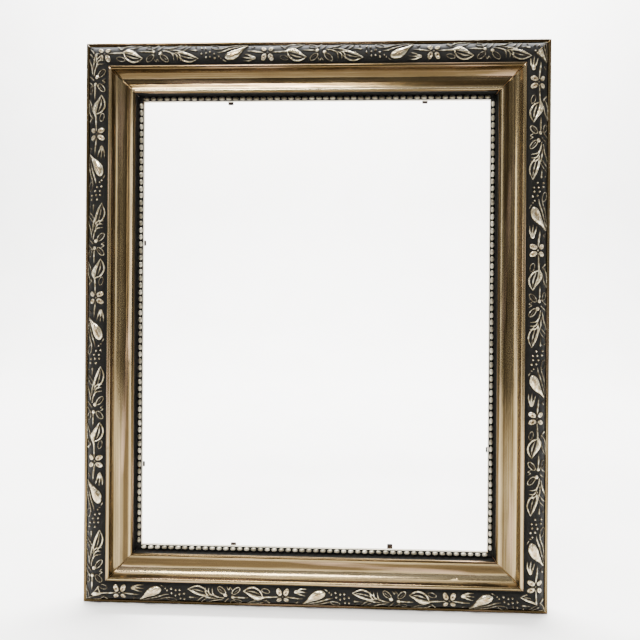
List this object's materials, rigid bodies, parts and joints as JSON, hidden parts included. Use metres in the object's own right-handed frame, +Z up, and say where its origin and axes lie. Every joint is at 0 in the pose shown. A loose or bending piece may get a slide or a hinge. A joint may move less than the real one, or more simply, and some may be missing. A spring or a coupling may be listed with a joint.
{
  "type": "picture frame",
  "caption": "Mitred picture frame in antique gilt with a black pressed ornament band, scooped section, pearled sight edge, framer's tabs and ring hangers.",
  "frame": {"origin": "under the middle of the bottom rail, on the plane it stands on, half-way through the depth with the hangers", "axes": "+Z up the frame, +X to the right as the front shows it, front faces -Y"},
  "size_m": [0.459, 0.0348, 0.559],
  "materials": {
    "gilt_moulding": "antique champagne gilding on timber, satin and streaked; bare timber behind",
    "black_ornament": "pressed composition, black ground with rubbed silver-gold relief",
    "silver_pearls": "pressed composition, rubbed antique silver with dark hollows",
    "blackened_steel": "blued spring steel",
    "zinc_steel": "bright zinc plate",
    "bright_steel": "bare steel"
  },
  "bodies": {
    "frame": {"bottom_rail": "gilt_moulding", "left_rail": "gilt_moulding", "top_rail": "gilt_moulding", "right_rail": "gilt_moulding", "bottom_ornament": "black_ornament", "left_ornament": "black_ornament", "top_ornament": "black_ornament", "right_ornament": "black_ornament", "bottom_pearls": "silver_pearls", "left_pearls": "silver_pearls", "top_pearls": "silver_pearls", "right_pearls": "silver_pearls", "tab_shank_top_left": "blackened_steel", "tab_shank_top_right": "blackened_steel", "tab_shank_bottom_left": "blackened_steel", "tab_shank_bottom_right": "blackened_steel", "tab_shank_left_upper": "blackened_steel", "tab_shank_left_lower": "blackened_steel", "tab_shank_right_lower": "blackened_steel", "hanger_strap_left": "zinc_steel", "hanger_strap_right": "zinc_steel", "hanger_screws": "zinc_steel", "corner_v_nails": "bright_steel"},
    "tab_top_left": {"tab_blade_top_left": "blackened_steel"},
    "tab_top_right": {"tab_blade_top_right": "blackened_steel"},
    "tab_bottom_left": {"tab_blade_bottom_left": "blackened_steel"},
    "tab_bottom_right": {"tab_blade_bottom_right": "blackened_steel"},
    "tab_left_upper": {"tab_blade_left_upper": "blackened_steel"},
    "tab_left_lower": {"tab_blade_left_lower": "blackened_steel"},
    "tab_right_lower": {"tab_blade_right_lower": "blackened_steel"},
    "ring_left": {"hanger_ring_left": "zinc_steel"},
    "ring_right": {"hanger_ring_right": "zinc_steel"}
  },
  "joints": [
    {"name": "bend_top_left", "type": "hinge", "parent": "frame", "child": "tab_top_left", "pos_m": [-0.086, 0.00812, 0.5048], "axis": [1, 0, 0], "range_deg": [-10, 80]},
    {"name": "bend_top_right", "type": "hinge", "parent": "frame", "child": "tab_top_right", "pos_m": [0.109, 0.00812, 0.5048], "axis": [1, 0, 0], "range_deg": [-10, 80]},
    {"name": "bend_bottom_left", "type": "hinge", "parent": "frame", "child": "tab_bottom_left", "pos_m": [-0.0805, 0.00812, 0.0542], "axis": [-1, 0, 0], "range_deg": [-10, 80]},
    {"name": "bend_bottom_right", "type": "hinge", "parent": "frame", "child": "tab_bottom_right", "pos_m": [0.077, 0.00812, 0.0542], "axis": [-1, 0, 0], "range_deg": [-10, 80]},
    {"name": "bend_left_upper", "type": "hinge", "parent": "frame", "child": "tab_left_upper", "pos_m": [-0.1753, 0.00812, 0.3605], "axis": [0, 0, 1], "range_deg": [-10, 80]},
    {"name": "bend_left_lower", "type": "hinge", "parent": "frame", "child": "tab_left_lower", "pos_m": [-0.1753, 0.00812, 0.136], "axis": [0, 0, 1], "range_deg": [-10, 80]},
    {"name": "bend_right_lower", "type": "hinge", "parent": "frame", "child": "tab_right_lower", "pos_m": [0.1753, 0.00812, 0.156], "axis": [0, 0, -1], "range_deg": [-10, 80]},
    {"name": "swing_ring_left", "type": "hinge", "parent": "frame", "child": "ring_left", "pos_m": [-0.2035, 0.01522, 0.37453], "axis": [1, 0, 0], "range_deg": [0, 175]},
    {"name": "swing_ring_right", "type": "hinge", "parent": "frame", "child": "ring_right", "pos_m": [0.2035, 0.01522, 0.37453], "axis": [1, 0, 0], "range_deg": [0, 175]}
  ]
}
